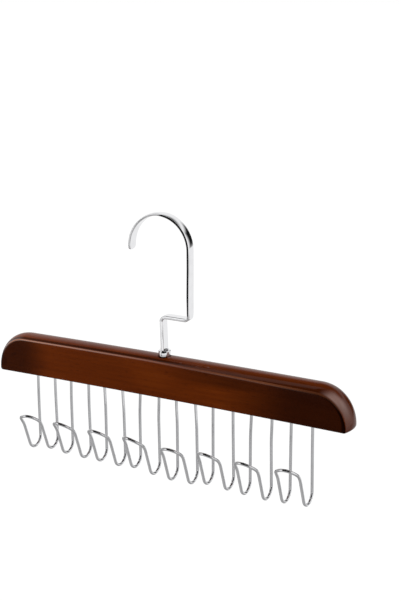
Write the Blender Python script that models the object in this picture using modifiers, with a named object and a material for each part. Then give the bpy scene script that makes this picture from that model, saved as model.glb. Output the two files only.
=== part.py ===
"""Belt hanger: a lacquered wooden bar with eight double wire hooks, which turns on a flat chrome hook."""

import math

import bmesh
import bpy
import numpy as np

# Driving dimensions, in metres. The origin is the inside top of the hook's arc, where a rail holds it.
# Bar: a straight front view with rounded ends, a flat front and back, and a crown along its top and ends.
bar_length = 0.370
bar_height = 0.0378
bar_thickness = 0.022
crown_rise = 0.0040
crown_edge_round = 0.0012
end_run = 0.0335
lower_corner_radius = 0.0046
front_corner_radius = 0.0016
underside_edge_round = 0.0014

# Wire units: each is one wire with two rear legs, two U bends and one arch that joins the fronts.
unit_count = 8
unit_pitch = 0.03895
seat_spacing = 0.0202
arch_width = 0.0208
wire_diameter = 0.0026
wire_drop = 0.0736
wire_seat_depth = 0.014
hook_bend_radius = 0.0087
front_lean = math.radians(18.8)
front_straight = 0.0215
lip_radius = 0.020
lip_lean = math.radians(50)
front_length = 0.0402
# How much lower than its design height each unit was pressed in, from the left.
unit_offsets = (-0.0001, -0.0001, -0.0001, 0.0002, 0.0008, -0.0003, 0.0003, -0.0007)

# Flat hook: strip seen edge on from the front, with a round pin at its foot.
strip_width = 0.0089
strip_thickness = 0.0018
strip_edge_round = 0.0003
strip_foot_width = 0.0072
strip_taper_length = 0.014
tip_squareness = 2.6
arc_outer_radius = 0.0305
tip_run = 0.0052
arc_offset = 0.003
arc_centre_above_bar = 0.1005
step_above_bar = 0.038
step_bend_radius = 0.0026
pin_radius = 0.0015
pin_root_radius = 0.0008
pin_root_length = 0.0014
head_radius = 0.0026
head_height = 0.0015

# Collar that the pin turns in, and what holds it in the wood.
collar_radius = 0.0045
collar_height = 0.0052
collar_top_round = 0.0012
collar_foot_taper = 0.0004
collar_foot_rise = 0.0014
shank_radius = 0.0028
shank_length = 0.014
washer_radius = 0.0027
washer_thickness = 0.0008
insert_wall = 0.0006
insert_length = 0.0125
plain_share = 0.75
barb_count = 5
barb_depth = 0.0003
pocket_clearance = 0.0012

# Clearance between pieces that seat in or on each other.
fit_gap = 0.0003

# How finely round shapes are cut, and how far cutters run past the faces that they open.
turning_steps = 28
merge_distance = 0.00001
wire_hole_sides = 16
cutter_overrun = 0.003

# Places worked out from the sizes above.
swivel_x = arc_offset
arc_centre_z = strip_thickness - arc_outer_radius
crest_z = arc_centre_z - arc_centre_above_bar
underside_z = crest_z - bar_height
crown_radius = (bar_thickness**2 / 4 + crown_rise**2) / (2 * crown_rise)
wire_radius = wire_diameter / 2
bore_radius = pin_radius + fit_gap
insert_bore_radius = shank_radius + fit_gap
insert_radius = insert_bore_radius + insert_wall
collar_seat_radius = collar_radius + fit_gap
# The collar's seat is cut just deep enough to be flat all the way round under the crown.
crown_at_seat = crown_radius - math.sqrt(crown_radius**2 - collar_seat_radius**2)
collar_seat_z = crest_z - crown_at_seat - fit_gap
collar_foot_z = collar_seat_z + fit_gap
collar_top_z = crest_z + collar_height
shank_foot_z = collar_foot_z - shank_length
washer_top_z = shank_foot_z - fit_gap
head_top_z = washer_top_z - washer_thickness - fit_gap
pocket_floor_z = head_top_z - head_height - pocket_clearance
strip_foot_z = collar_top_z + fit_gap


def clear_scene():
    for obj in list(bpy.data.objects):
        bpy.data.objects.remove(obj, do_unlink=True)
    for collection in list(bpy.data.collections):
        bpy.data.collections.remove(collection)


def new_collection(name):
    collection = bpy.data.collections.new(name)
    bpy.context.scene.collection.children.link(collection)
    return collection


def finish(name, colour, roughness, metallic):
    material = bpy.data.materials.new(name)
    material.use_nodes = True
    shader = material.node_tree.nodes["Principled BSDF"]
    shader.inputs["Base Color"].default_value = (*colour, 1.0)
    shader.inputs["Roughness"].default_value = roughness
    shader.inputs["Metallic"].default_value = metallic
    return material


def add_object(name, data, collection, material=None, parent=None):
    obj = bpy.data.objects.new(name, data)
    collection.objects.link(obj)
    obj.parent = parent
    if material and not data.materials:
        data.materials.append(material)
    return obj


def as_cutter(obj):
    obj.hide_render = True
    obj.display_type = "WIRE"
    return obj


def boolean(obj, other, operation):
    modifier = obj.modifiers.new(operation.lower(), "BOOLEAN")
    modifier.operation = operation
    modifier.object = other
    modifier.solver = "EXACT"


def loft(name, rings):
    """A closed skin through rings of points that match one to one, with a flat cap on each end."""
    built = bmesh.new()
    rows = [[built.verts.new(point) for point in ring] for ring in rings]
    count = len(rows[0])
    for row, after in zip(rows, rows[1:]):
        for i in range(count):
            j = (i + 1) % count
            built.faces.new((row[i], row[j], after[j], after[i]))
    built.faces.new(list(reversed(rows[0])))
    built.faces.new(rows[-1])
    bmesh.ops.recalc_face_normals(built, faces=built.faces[:])
    mesh = bpy.data.meshes.new(name)
    built.to_mesh(mesh)
    built.free()
    shade(mesh)
    return mesh


def shade(mesh):
    mesh.shade_smooth()
    mesh.set_sharp_from_angle(angle=math.radians(35))


def turned(name, profile, collection, axis, material=None):
    """A profile of (radius, height) pairs, outer side downwards, turned round the swivel's axis."""
    mesh = bpy.data.meshes.new(name)
    points = [(radius, 0.0, height) for radius, height in profile]
    edges = [(i, i + 1) for i in range(len(points) - 1)]
    if profile[0] != profile[-1] and profile[0][0] > 0:
        edges.append((len(points) - 1, 0))
    mesh.from_pydata(points, edges, [])
    obj = add_object(name, mesh, collection, material, axis)
    screw = obj.modifiers.new("turn", "SCREW")
    screw.steps = turning_steps
    screw.render_steps = turning_steps
    screw.use_merge_vertices = True
    screw.merge_threshold = merge_distance
    screw.use_smooth_shade = True
    return obj


def quarter(start, end, count):
    """Points of a quarter ellipse from start to end, leaving start straight up or down."""
    turn = np.linspace(0, np.pi / 2, count)
    x = end[0] + (start[0] - end[0]) * np.cos(turn)
    z = start[1] + (end[1] - start[1]) * np.sin(turn)
    return list(zip(x, z))


# Bar


def rounding(distance, radius):
    """How far a rounded edge falls away at this distance from the face that it meets."""
    inside = max(radius - distance, 0.0)
    return radius - math.sqrt(radius**2 - inside**2)


def bar_ring(y):
    """The bar's front view outline at one depth, from the middle of its underside."""
    from_face = bar_thickness / 2 - abs(y)
    crown = crown_radius - math.sqrt(crown_radius**2 - y**2)
    inset = crown + rounding(from_face, crown_edge_round)
    lift = rounding(from_face, underside_edge_round)
    share = inset / (crown_rise + crown_edge_round)
    corner = lower_corner_radius + (front_corner_radius - lower_corner_radius) * share
    half = bar_length / 2 - inset
    shoulder = lift + corner
    right = quarter((half, shoulder), (bar_length / 2 - end_run, bar_height - inset), 15)
    lower = quarter((half, shoulder), (half - corner, lift), 6)[1:]
    side = lower[::-1] + right
    outline = side + [(-x, z) for x, z in reversed(side)]
    return [(x, y, z) for x, z in outline]


def bar_depths():
    turn = np.linspace(0, np.pi / 2, 7)
    edge = underside_edge_round * (1 - np.cos(turn)) - bar_thickness / 2
    half = np.concatenate([edge[:-1], np.linspace(edge[-1], 0, 5)])
    return np.concatenate([half, -half[-2::-1]])


def unit_middle(unit):
    return (unit - (unit_count - 1) / 2) * unit_pitch


def make_wire_holes(cutters, axis):
    """One hole, repeated for a unit's two legs and then for every unit."""
    depth = wire_seat_depth - min(unit_offsets) + fit_gap
    bpy.ops.mesh.primitive_cylinder_add(
        vertices=wire_hole_sides,
        radius=wire_radius + fit_gap,
        depth=depth + cutter_overrun,
    )
    holes = as_cutter(bpy.context.object)
    holes.name = "wire_holes"
    holes.users_collection[0].objects.unlink(holes)
    cutters.objects.link(holes)
    holes.parent = axis
    holes.location = (unit_middle(0) - seat_spacing / 2, 0, underside_z + (depth - cutter_overrun) / 2)
    for count, step in ((2, seat_spacing), (unit_count, unit_pitch)):
        row = holes.modifiers.new("row", "ARRAY")
        row.count = count
        row.use_relative_offset = False
        row.use_constant_offset = True
        row.constant_offset_displace = (step, 0, 0)
    return holes


def make_swivel_hole(cutters, axis):
    above = crest_z + cutter_overrun
    hole_radius = insert_radius + barb_depth + fit_gap
    profile = [
        (0, above),
        (collar_seat_radius, above),
        (collar_seat_radius, collar_seat_z),
        (hole_radius, collar_seat_z),
        (hole_radius, pocket_floor_z),
        (0, pocket_floor_z),
    ]
    return as_cutter(turned("swivel_hole", profile, cutters, axis))


def make_bar(collection, cutters, axis, material):
    mesh = loft("wood_bar", [bar_ring(y) for y in bar_depths()])
    bar = add_object("wood_bar", mesh, collection, material, axis)
    bar.location.z = underside_z
    boolean(bar, make_wire_holes(cutters, axis), "DIFFERENCE")
    boolean(bar, make_swivel_hole(cutters, axis), "DIFFERENCE")


# Wire units


def front_profile(run):
    """Forward and upward travel after this much wire past the U bend: straight, then curling outwards."""
    turn_length = lip_radius * (lip_lean - front_lean)
    straight = min(run, front_straight)
    curled = min(max(run - front_straight, 0.0), turn_length)
    beyond = max(run - front_straight - turn_length, 0.0)
    lean = front_lean + curled / lip_radius
    forward = straight * math.sin(front_lean) + lip_radius * (math.cos(front_lean) - math.cos(lean))
    upward = straight * math.cos(front_lean) + lip_radius * (math.sin(lean) - math.sin(front_lean))
    return forward + beyond * math.sin(lip_lean), upward + beyond * math.cos(lip_lean)


def wire_side():
    """The U bend and the front leg up to the foot of the arch, as (back, up) pairs, with the bend's end."""
    centre = hook_bend_radius - wire_drop
    side = []
    for turn in np.linspace(0, math.pi - front_lean, 14):
        side.append((-hook_bend_radius * (1 - math.cos(turn)), centre - hook_bend_radius * math.sin(turn)))
    back, up = side[-1]
    for run in np.linspace(0, front_length - arch_width / 2, 6)[1:]:
        forward, rise = front_profile(run)
        side.append((back - forward, up + rise))
    return side, (back, up)


def wire_path():
    """The whole wire of one unit: seat, leg, bend and front, then the arch, then the same again."""
    side, (back, up) = wire_side()
    half = arch_width / 2
    path = [(-seat_spacing / 2, 0, wire_seat_depth), (-seat_spacing / 2, 0, 0)]
    path += [(-half, y, z) for y, z in side]
    mirrored = [(-x, y, z) for x, y, z in reversed(path)]
    for turn in np.linspace(0, math.pi, 15)[1:-1]:
        forward, rise = front_profile(front_length - half + half * math.sin(turn))
        path.append((-half * math.cos(turn), back - forward, up + rise))
    return path + mirrored


def make_wires(collection, axis, material):
    curve = bpy.data.curves.new("belt_wire", "CURVE")
    curve.dimensions = "3D"
    curve.bevel_depth = wire_radius
    curve.bevel_resolution = 2
    curve.use_fill_caps = True
    path = wire_path()
    spline = curve.splines.new("POLY")
    spline.points.add(len(path) - 1)
    for point, place in zip(spline.points, path):
        point.co = (*place, 1.0)
    for unit in range(unit_count):
        wire = add_object(f"belt_wire_{unit + 1}", curve, collection, material, axis)
        wire.location = (unit_middle(unit), 0, underside_z - unit_offsets[unit])


# Flat hook


def strip_path():
    """The middle line of the strip as (x, z) pairs, from the foot over the step and the arc to the tip."""
    leg_x = arc_outer_radius - strip_thickness / 2
    step_z = crest_z + step_above_bar - strip_thickness / 2
    bend = step_bend_radius + strip_thickness / 2
    turns = np.linspace(0, math.pi / 2, 7)
    path = [(swivel_x, z) for z in np.linspace(strip_foot_z, step_z - bend, 9)[:-1]]
    path += [(swivel_x + bend - bend * math.cos(t), step_z - bend + bend * math.sin(t)) for t in turns]
    path += [(leg_x - bend + bend * math.sin(t), step_z + bend - bend * math.cos(t)) for t in turns]
    for turn in np.linspace(0, math.pi, 41):
        path.append((leg_x * math.cos(turn), arc_centre_z + leg_x * math.sin(turn)))
    path.append((-leg_x, arc_centre_z - tip_run))
    return np.array(path)


def strip_width_at(from_foot, to_tip):
    """Full width, narrowing smoothly to the foot and rounded off like a flattened disc at the tip."""
    rise = min(from_foot / strip_taper_length, 1.0)
    width = strip_foot_width + (strip_width - strip_foot_width) * rise * rise * (3 - 2 * rise)
    round_off = strip_width / 2
    if to_tip < round_off:
        width *= (1 - (1 - to_tip / round_off) ** tip_squareness) ** (1 / tip_squareness)
    return max(width, 3 * strip_edge_round)


def strip_section(width):
    """The strip's cross-section as (across, out) pairs: a rectangle with its edges taken off."""
    half = width / 2
    face = strip_thickness / 2
    flat_side = (half, face - strip_edge_round)
    flat_face = (half - strip_edge_round, face)
    corner = [flat_side, flat_face]
    far_corner = [(-across, out) for across, out in reversed(corner)]
    top = corner + far_corner
    return top + [(-across, -out) for across, out in top]


def strip_rings():
    path = strip_path()
    steps = np.linalg.norm(np.diff(path, axis=0), axis=1)
    travelled = np.concatenate([[0], np.cumsum(steps)])
    total = travelled[-1]
    # The width falls fast at the tip, so its stations close up there.
    round_off = strip_width / 2
    tip = total - round_off * np.cos(np.linspace(0, math.pi / 2, 8))
    stations = np.concatenate([travelled[travelled < tip[0]], tip])
    places = np.stack([np.interp(stations, travelled, path[:, i]) for i in (0, 1)], axis=1)
    headings = np.gradient(places, stations, axis=0)
    headings /= np.linalg.norm(headings, axis=1)[:, None]
    rings = []
    for along, (x, z), (dx, dz) in zip(stations, places, headings):
        section = strip_section(strip_width_at(along, total - along))
        rings.append([(x - out * dz, across, z + out * dx) for across, out in section])
    return rings


def make_hook(collection, cutters, axis, material):
    hook = add_object("flat_hook", loft("flat_hook", strip_rings()), collection, material)
    root_z = strip_foot_z + pin_root_length
    profile = [
        (0, root_z),
        (pin_root_radius, root_z),
        (pin_radius, strip_foot_z),
        (pin_radius, head_top_z),
        (head_radius, head_top_z),
    ]
    profile += quarter((head_radius, head_top_z - head_height / 2), (0, head_top_z - head_height), 5)
    boolean(hook, as_cutter(turned("hook_pin", profile, cutters, axis)), "UNION")


# Swivel collar and its fixings


def make_collar(collection, axis, material):
    foot_radius = collar_radius - collar_foot_taper
    edge = (collar_radius, collar_top_z - collar_top_round)
    rim = (collar_radius - collar_top_round, collar_top_z)
    profile = [(bore_radius, shank_foot_z), (bore_radius, collar_top_z)]
    profile += reversed(quarter(edge, rim, 6))
    profile += [
        (collar_radius, collar_foot_z + collar_foot_rise),
        (foot_radius, collar_foot_z),
        (shank_radius, collar_foot_z),
        (shank_radius, shank_foot_z),
    ]
    turned("swivel_collar", profile, collection, axis, material)


def make_washer(collection, axis, material):
    low = washer_top_z - washer_thickness
    inner = [(bore_radius, low), (bore_radius, washer_top_z)]
    outer = [(washer_radius, washer_top_z), (washer_radius, low)]
    turned("pin_washer", inner + outer, collection, axis, material)


def make_insert(collection, axis, material):
    """A bush with a plain rim and a row of saw-tooth barbs that point up."""
    top = collar_seat_z
    foot = top - insert_length
    pitch = insert_length / (barb_count + 1)
    barb_radius = insert_radius + barb_depth
    profile = [(insert_bore_radius, foot), (insert_bore_radius, top), (barb_radius, top)]
    for barb in range(barb_count + 1):
        edge = top - pitch * barb
        if barb:
            profile.append((barb_radius, edge))
        profile.append((insert_radius, edge - pitch * plain_share))
    profile.append((insert_radius, foot))
    turned("barbed_insert", profile, collection, axis, material)


def main():
    clear_scene()
    parts = new_collection("belt_hanger")
    cutters = new_collection("belt_hanger_cutters")
    axis = add_object("swivel_axis", None, parts)
    axis.location.x = swivel_x
    lacquered_wood = finish("lacquered_wood", (0.075, 0.012, 0.004), 0.22, 0.0)
    chrome = finish("chrome", (0.78, 0.79, 0.81), 0.08, 1.0)
    wire_chrome = finish("wire_chrome", (0.72, 0.73, 0.75), 0.12, 1.0)
    zinc_steel = finish("zinc_steel", (0.60, 0.61, 0.62), 0.35, 1.0)
    brass = finish("brass", (0.70, 0.50, 0.22), 0.30, 1.0)
    make_bar(parts, cutters, axis, lacquered_wood)
    make_wires(parts, axis, wire_chrome)
    make_hook(parts, cutters, axis, chrome)
    make_collar(parts, axis, chrome)
    make_washer(parts, axis, zinc_steel)
    make_insert(parts, axis, brass)


main()
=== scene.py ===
# Looks of the belt hanger: lacquered bar, chromed belt wires and flat chrome hook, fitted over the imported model.
import math

import bmesh
import bpy
import numpy as np
from mathutils import Matrix, Vector


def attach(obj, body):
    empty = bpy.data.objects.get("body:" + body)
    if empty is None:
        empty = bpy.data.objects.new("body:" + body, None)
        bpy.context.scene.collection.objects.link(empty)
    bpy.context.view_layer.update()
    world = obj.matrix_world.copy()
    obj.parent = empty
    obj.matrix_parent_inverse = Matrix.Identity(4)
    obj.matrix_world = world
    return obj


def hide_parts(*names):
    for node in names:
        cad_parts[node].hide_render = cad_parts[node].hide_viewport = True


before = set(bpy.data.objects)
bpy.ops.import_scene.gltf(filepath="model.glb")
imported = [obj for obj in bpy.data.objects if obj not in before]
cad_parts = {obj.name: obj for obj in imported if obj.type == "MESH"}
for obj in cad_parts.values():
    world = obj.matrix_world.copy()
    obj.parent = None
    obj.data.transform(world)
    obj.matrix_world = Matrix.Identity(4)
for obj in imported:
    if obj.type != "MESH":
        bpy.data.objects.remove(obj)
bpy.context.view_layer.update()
mm = 0.001
sharpAngle = math.radians(40)  # an edge that turns by more is drawn sharp
print("packed model loaded:", len(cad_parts), "nodes")

# Places that the pieces share, in millimetres: the origin is the inside top of the hook's arc.
place = {
    "swivelX": 3.0,
    "crestZ": -129.2,
    "undersideZ": -167.0,
}


# Surfaces: every piece starts as rows of points, each row a closed loop.


def smoothStep(value):
    # 0 up to 0, 1 from 1 on, and smooth between them.
    value = np.clip(value, 0.0, 1.0)
    return value * value * (3 - 2 * value)


def skinOf(rows, starts, ends):
    # Quads join each row to the next, and a fan of triangles closes each end on its own pole.
    count, around = rows.shape[:2]
    index = np.arange(count * around).reshape(count, around)
    ahead = np.roll(index, -1, axis=1)
    quads = np.stack([index[:-1], ahead[:-1], ahead[1:], index[1:]], axis=-1).reshape(-1, 4)
    first = np.stack([ahead[0], index[0], np.full(around, count * around)], axis=-1)
    last = np.stack([index[-1], ahead[-1], np.full(around, count * around + 1)], axis=-1)
    points = np.vstack([rows.reshape(-1, 3), starts, ends])
    return points, quads.tolist() + first.tolist() + last.tolist()


def ringOf(rows):
    # As skinOf, but the last row joins the first, so that the skin is a closed ring.
    count, around = rows.shape[:2]
    index = np.arange(count * around).reshape(count, around)
    ahead = np.roll(index, -1, axis=1)
    after = np.roll(index, -1, axis=0)
    both = np.roll(after, -1, axis=1)
    return rows.reshape(-1, 3), np.stack([index, ahead, both, after], axis=-1).reshape(-1, 4).tolist()


def joined(*skins):
    # Several closed skins in one mesh.
    points = []
    faces = []
    start = 0
    for skinPoints, skinFaces in skins:
        points.append(skinPoints)
        faces += [[corner + start for corner in face] for face in skinFaces]
        start += len(skinPoints)
    return np.vstack(points), faces


def addObject(name, data):
    added = bpy.data.objects.new(name, data)
    bpy.context.scene.collection.objects.link(added)
    return added


def makePiece(name, skin):
    # A smooth object from a skin in millimetres.
    points, faces = skin
    mesh = bpy.data.meshes.new(name)
    mesh.from_pydata((points * mm).tolist(), [], faces)
    tidy = bmesh.new()
    tidy.from_mesh(mesh)
    bmesh.ops.recalc_face_normals(tidy, faces=tidy.faces[:])
    tidy.to_mesh(mesh)
    tidy.free()
    mesh.shade_smooth()
    mesh.set_sharp_from_angle(angle=sharpAngle)
    return addObject(name, mesh)


def turnedRows(profile, steps, centreX):
    # A profile of (radius, height) pairs turned round a vertical axis: each row is one turn of the loop.
    profile = np.array(profile, float)
    turn = np.linspace(0, 2 * np.pi, steps, endpoint=False)
    radius = profile[:, 0][:, None]
    x = centreX + radius * np.cos(turn)
    y = radius * np.sin(turn)
    z = np.repeat(profile[:, 1][:, None], steps, axis=1)
    return np.stack([x, y, z], axis=-1)


def turnedSkin(profile, steps, centreX, endZ=None):
    # A closed skin turned from a profile, with its poles at the first height and at the last one or endZ.
    endZ = profile[-1][1] if endZ is None else endZ
    return skinOf(turnedRows(profile, steps, centreX), [[centreX, 0, profile[0][1]]], [[centreX, 0, endZ]])


def roundedCorner(centre, radius, start, end, count):
    # Points of an arc about the centre, from one angle to another in degrees.
    angle = np.radians(np.linspace(start, end, count))
    return [(centre[0] + radius * math.cos(a), centre[1] + radius * math.sin(a)) for a in angle]


def drill(piece, skin):
    # Cuts a closed skin out of a piece and keeps the cut mesh as the piece's own.
    cutter = makePiece(piece.name + "Cutter", skin)
    cut = piece.modifiers.new("drill", "BOOLEAN")
    cut.operation = "DIFFERENCE"
    cut.solver = "EXACT"
    cut.object = cutter
    uncut = piece.data
    ready = piece.evaluated_get(bpy.context.evaluated_depsgraph_get())
    piece.data = bpy.data.meshes.new_from_object(ready)
    piece.modifiers.clear()
    bpy.data.meshes.remove(uncut)
    piece.data.name = piece.name
    cutterMesh = cutter.data
    bpy.data.objects.remove(cutter)
    bpy.data.meshes.remove(cutterMesh)


# Finishes: expressions on Value add Math nodes, and make() adds any other node.


class Value:
    def __init__(self, tree, socket):
        self.tree = tree
        self.socket = socket

    def make(self, kind, settings, inputs, output=0):
        node = self.tree.nodes.new("ShaderNode" + kind)
        for name, setting in settings.items():
            if name == "stops":
                ramp = node.color_ramp.elements
                while len(ramp) < len(setting):
                    ramp.new(0.5)
                for stop, (position, colour) in zip(ramp, setting):
                    stop.position = position
                    stop.color = (*colour, 1.0)
            else:
                setattr(node, name, setting)
        for name, given in inputs.items():
            if isinstance(given, Value):
                self.tree.links.new(given.socket, node.inputs[name])
            elif isinstance(given, tuple) and node.inputs[name].type == "RGBA":
                node.inputs[name].default_value = (*given, 1.0)
            else:
                node.inputs[name].default_value = given
        return Value(self.tree, node.outputs[output])

    def maths(self, operation, *values):
        return self.make("Math", {"operation": operation}, dict(enumerate(values)))

    def __add__(self, other):
        return self.maths("ADD", self, other)

    def __radd__(self, other):
        return self.maths("ADD", other, self)

    def __sub__(self, other):
        return self.maths("SUBTRACT", self, other)

    def __rsub__(self, other):
        return self.maths("SUBTRACT", other, self)

    def __mul__(self, other):
        return self.maths("MULTIPLY", self, other)

    def __rmul__(self, other):
        return self.maths("MULTIPLY", other, self)

    def __truediv__(self, other):
        return self.maths("DIVIDE", self, other)

    def power(self, other):
        return self.maths("POWER", self, other)

    def larger(self, other):
        return self.maths("MAXIMUM", self, other)

    def size(self):
        return self.maths("ABSOLUTE", self)

    def fade(self, low, high):
        # 0 below low, 1 above high, and smooth between them.
        span = {"From Min": low, "From Max": high, "Value": self}
        return self.make("MapRange", {"interpolation_type": "SMOOTHSTEP"}, span)

    def between(self, low, high, soft):
        # 1 from low to high and 0 outside, with each border smoothed over the soft width on both sides.
        return self.fade(low - soft, low + soft) * (1 - self.fade(high - soft, high + soft))

    def part(self, axis):
        # One coordinate of a vector.
        return self.make("SeparateXYZ", {}, {"Vector": self}, "XYZ".index(axis))

    def stretched(self, scale):
        # A vector scaled by axis: a small scale draws a pattern out along that axis.
        return self.make("Mapping", {}, {"Vector": self, "Scale": scale})

    def noise(self, scale, detail=2.0, roughness=0.5, distortion=0.0):
        inputs = {"Vector": self, "Scale": scale, "Detail": detail, "Roughness": roughness, "Distortion": distortion}
        return self.make("TexNoise", {}, inputs)

    def blend(self, first, second):
        # Two colours mixed by this mask.
        sockets = {0: self, 6: first, 7: second}
        return self.make("Mix", {"data_type": "RGBA"}, sockets, 2)


def newFinish(name):
    # A fresh material, its shader and its Object coordinates, which are metres in the model's own frame.
    material = bpy.data.materials.new(name)
    material.use_nodes = True
    shader = material.node_tree.nodes["Principled BSDF"]
    coordinates = material.node_tree.nodes.new("ShaderNodeTexCoord")
    return material, shader, Value(material.node_tree, coordinates.outputs["Object"])


def feed(shader, **inputs):
    # Numbers and colours go straight onto the shader's own sockets, and values are linked.
    for name, given in inputs.items():
        socket = shader.inputs[name.replace("_", " ")]
        if isinstance(given, Value):
            given.tree.links.new(given.socket, socket)
        elif isinstance(given, tuple):
            socket.default_value = (*given, 1.0)
        else:
            socket.default_value = given


def bumped(height, strength, distance):
    # A normal that follows this height.
    return height.make("Bump", {}, {"Height": height, "Strength": strength, "Distance": distance})


woodLook = {
    "dark": (0.063, 0.0098, 0.0006),
    "middle": (0.090, 0.0148, 0.0009),
    "light": (0.120, 0.0220, 0.0015),
    "fleck": (0.038, 0.0055, 0.0004),
    # Near-black colour for painted shade, also used for the dirt smudges at the left end.
    "shade": (0.0035, 0.0005, 0.0002),
    "paintedGlint": (0.300, 0.0850, 0.0140),
    "paintedSheen": (0.270, 0.1650, 0.1400),
    "fibreScale": 420.0,
    "figureScale": 30.0,
    "fleckScale": 900.0,
    "smudgeScale": 75.0,
    "fibreStretch": (0.045, 1.0, 1.0),
    "figureStretch": (0.30, 1.0, 1.0),
    "fleckStretch": (0.16, 1.0, 1.0),
    "fleckRange": (0.60, 0.72),
    "toneRange": (0.15, 0.85),
    "fleckAmount": 0.45,
    "faceShade": 0.08,
    "rightShade": 0.83,
    "leftShade": 0.78,
    "smudgeShade": 0.85,
    "seatShade": 0.80,
    "bandShade": 0.70,
    "rightBandShade": 0.62,
    "paintedGlintLevel": 0.50,
    "paintedGlintGrain": 0.2,
    "rightPaintedGlint": 0.23,
    "endPaintedGlintLoss": 0.6,
    "rightArrisPaintedSheen": 0.09,
    "endPaintedSheen": 0.85,
    "depthTint": (1.0, 0.18, 0.03),
    "depthGloss": 0.09,
    "depthRoughness": 0.24,
    "fibreRoughness": 0.12,
    "coatWeight": 0.15,
    "crownCoat": 0.40,
    "arrisCoatLoss": 0.80,
    "coatRoughness": 0.05,
    "coatIor": 2.2,
    "reliefStrength": 0.12,
    "reliefDepth": 0.0002,
}

# Where the masks on the wood start and end; a third number softens both borders. Shares run along the bar from its
# middle to an end. Depths behind the nearer face and heights over the underside are in metres.
woodMask = {
    "face": (0.0002, 0.0008),
    "arris": (0.0001, 0.0013, 0.0001),
    "rightHalfShare": (0.0, 0.1),
    "rightShare": (0.22, 0.74),
    "rimInEnd": (0.05, 0.35),
    "rimEndward": (0.67, 0.80),
    "leftShare": (-0.84, -0.60),
    "smudgeRange": (0.47, 0.60),
    "smudgeShare": (-0.86, -0.70),
    "seatRadius": (0.0054, 0.0070),
    "seatHeight": (0.030, 0.032),
    "bandDepth": (0.0010, 0.0034, 0.0004),
    "bandHeight": (0.020, 0.028),
    "bandShare": (0.0, 0.5),
    "rightBandDepth": (0.0006, 0.0080),
    "rightBandHeight": (0.016, 0.024),
    "rightBandShare": (-0.1, 0.45),
    "lowArrisHeight": (0.0006, 0.0019),
    "leftArrisShare": (-0.93, -0.88),
    "leftArrisHeight": (0.016, 0.024),
    "paintedGlintDepth": (0.00012, 0.0008, 0.0001),
    "paintedGlintHeight": (0.024, 0.030),
    "paintedGlintShare": (-1.0, 0.4),
    "rightPaintedGlintDepth": (0.00012, 0.0009, 0.0001),
    "rightPaintedGlintHeight": (0.016, 0.024),
    "rightPaintedGlintShare": (0.05, 0.4),
    "endPaintedGlintShare": (0.55, 0.85),
    "paintedSheenDepth": (0.0002, 0.0016),
    "paintedSheenDepthEnd": (0.0042, 0.0082),
    "paintedSheenHeight": (0.005, 0.028),
    "paintedSheenHeightEnd": (0.028, 0.036),
    "paintedSheenInEnd": (0.10, 0.45),
    "paintedSheenFront": (0.0, -0.002),
    "arrisCoatShare": (-0.9, 0.4),
    "crownCoatShare": (-0.6, 0.3),
}


def barPlaces(here):
    # Where a point of the bar lies: its share of the way from the middle to the right end, its height over the bowed
    # and tilted underside, its depth from the nearer face, and how far it is into an end, along and along with up.
    half = bar["length"] / 2 * mm
    run = bar["endRun"] * mm
    corner = bar["lowerCorner"] * mm
    along = here.part("X") - bar["middleX"] * mm
    share = along / half
    height = here.part("Z") - (place["undersideZ"] + bar["rise"]) * mm + share * share * (bar["bow"] * mm)
    height = height - along * bar["tilt"]
    fromFace = bar["thickness"] / 2 * mm - here.part("Y").size()
    inEnd = (along.size() - (half - run)).larger(0.0) / run
    upEnd = (height - corner).larger(0.0) / (bar["height"] * mm - corner)
    endward = (inEnd * inEnd + upEnd * upEnd).power(0.5)
    return share, height, fromFace, inEnd, endward


def grainedWood(here):
    # Fibres, a broader figure and short dark pores, all drawn out along the bar.
    look = woodLook
    fibres = here.stretched(look["fibreStretch"]).noise(look["fibreScale"], 3.0, 0.6)
    figure = here.stretched(look["figureStretch"]).noise(look["figureScale"], 2.0, 0.5, 0.6)
    pores = here.stretched(look["fleckStretch"]).noise(look["fleckScale"], 1.0, 0.4)
    pores = pores.fade(*look["fleckRange"])
    tone = (fibres * 0.45 + figure * 0.75 - 0.1).fade(*look["toneRange"])
    stops = [(0.0, look["dark"]), (0.5, look["middle"]), (1.0, look["light"])]
    stained = tone.make("ValToRGB", {"stops": stops}, {"Fac": tone})
    return fibres, pores, (pores * look["fleckAmount"]).blend(stained, look["fleck"])


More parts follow.
